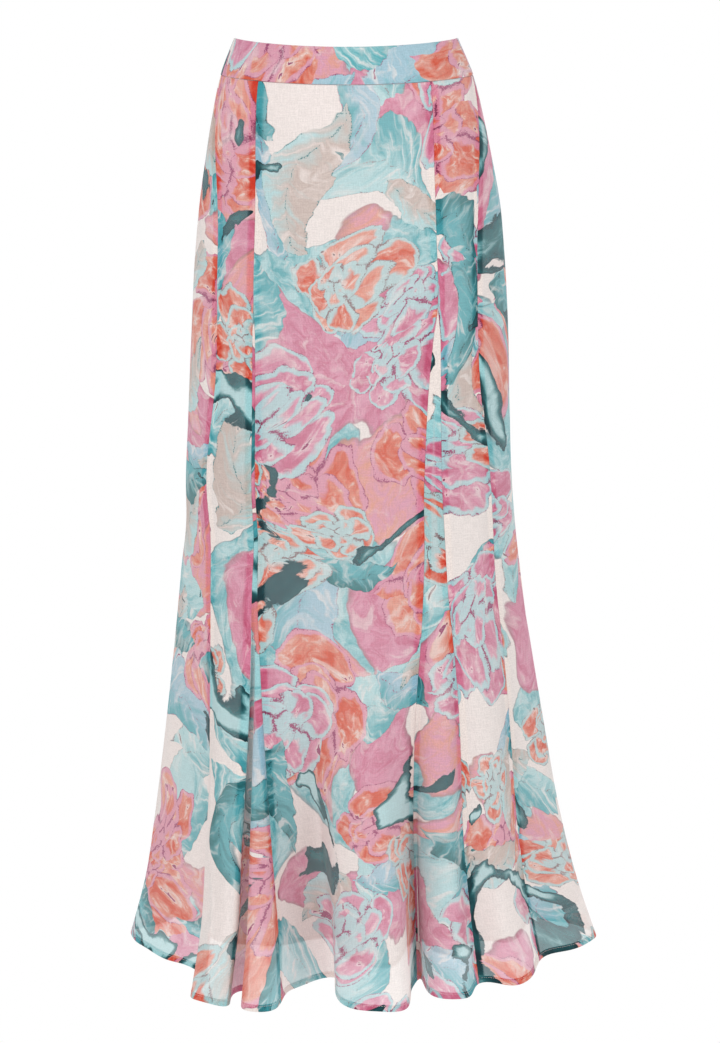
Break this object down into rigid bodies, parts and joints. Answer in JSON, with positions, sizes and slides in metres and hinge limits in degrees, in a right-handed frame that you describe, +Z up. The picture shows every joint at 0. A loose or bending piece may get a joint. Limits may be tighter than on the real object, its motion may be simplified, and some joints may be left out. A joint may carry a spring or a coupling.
{
  "type": "maxi skirt",
  "caption": "Long gored and flared skirt hanging as worn, with a contoured waistband, front godets, a floral watercolour print, a lining and a concealed back zip.",
  "frame": {"origin": "centre of the waist, half way up the waistband at its sides, where a wearer or a waist form holds the skirt", "axes": "+Z up, -Y to the front, +X to the wearer's left"},
  "size_m": [0.5455, 0.4874, 1.0303],
  "materials": {
    "printed_cloth": "semi-sheer plain-weave printed cloth, matt",
    "lining_cloth": "light off-white lining cloth",
    "waistband_cloth": "printed cloth, faced and interfaced",
    "zip_tape": "woven polyester tape",
    "zip_coil": "nylon coil",
    "zip_metal": "satin lacquer"
  },
  "bodies": {
    "skirt": {"side_front_right": "printed_cloth", "godet_front_right": "printed_cloth", "centre_front": "printed_cloth", "godet_front_left": "printed_cloth", "side_front_left": "printed_cloth", "side_back_left": "printed_cloth", "centre_back_left": "printed_cloth", "centre_back_right": "printed_cloth", "side_back_right": "printed_cloth", "lining_front": "lining_cloth", "lining_back_left": "lining_cloth", "lining_back_right": "lining_cloth", "waistband_front": "waistband_cloth", "waistband_back_left": "waistband_cloth", "waistband_back_right": "waistband_cloth", "zip_tape_left": "zip_tape", "zip_tape_right": "zip_tape", "zip_chain": "zip_coil", "zip_slider": "zip_metal"},
    "pull": {"zip_pull": "zip_metal"}
  },
  "joints": [
    {"name": "zip_pull_swing", "type": "hinge", "parent": "skirt", "child": "pull", "pos_m": [0.00016, 0.09196, 0.0036], "axis": [1, 0, 0], "range_deg": [0, 150]}
  ]
}
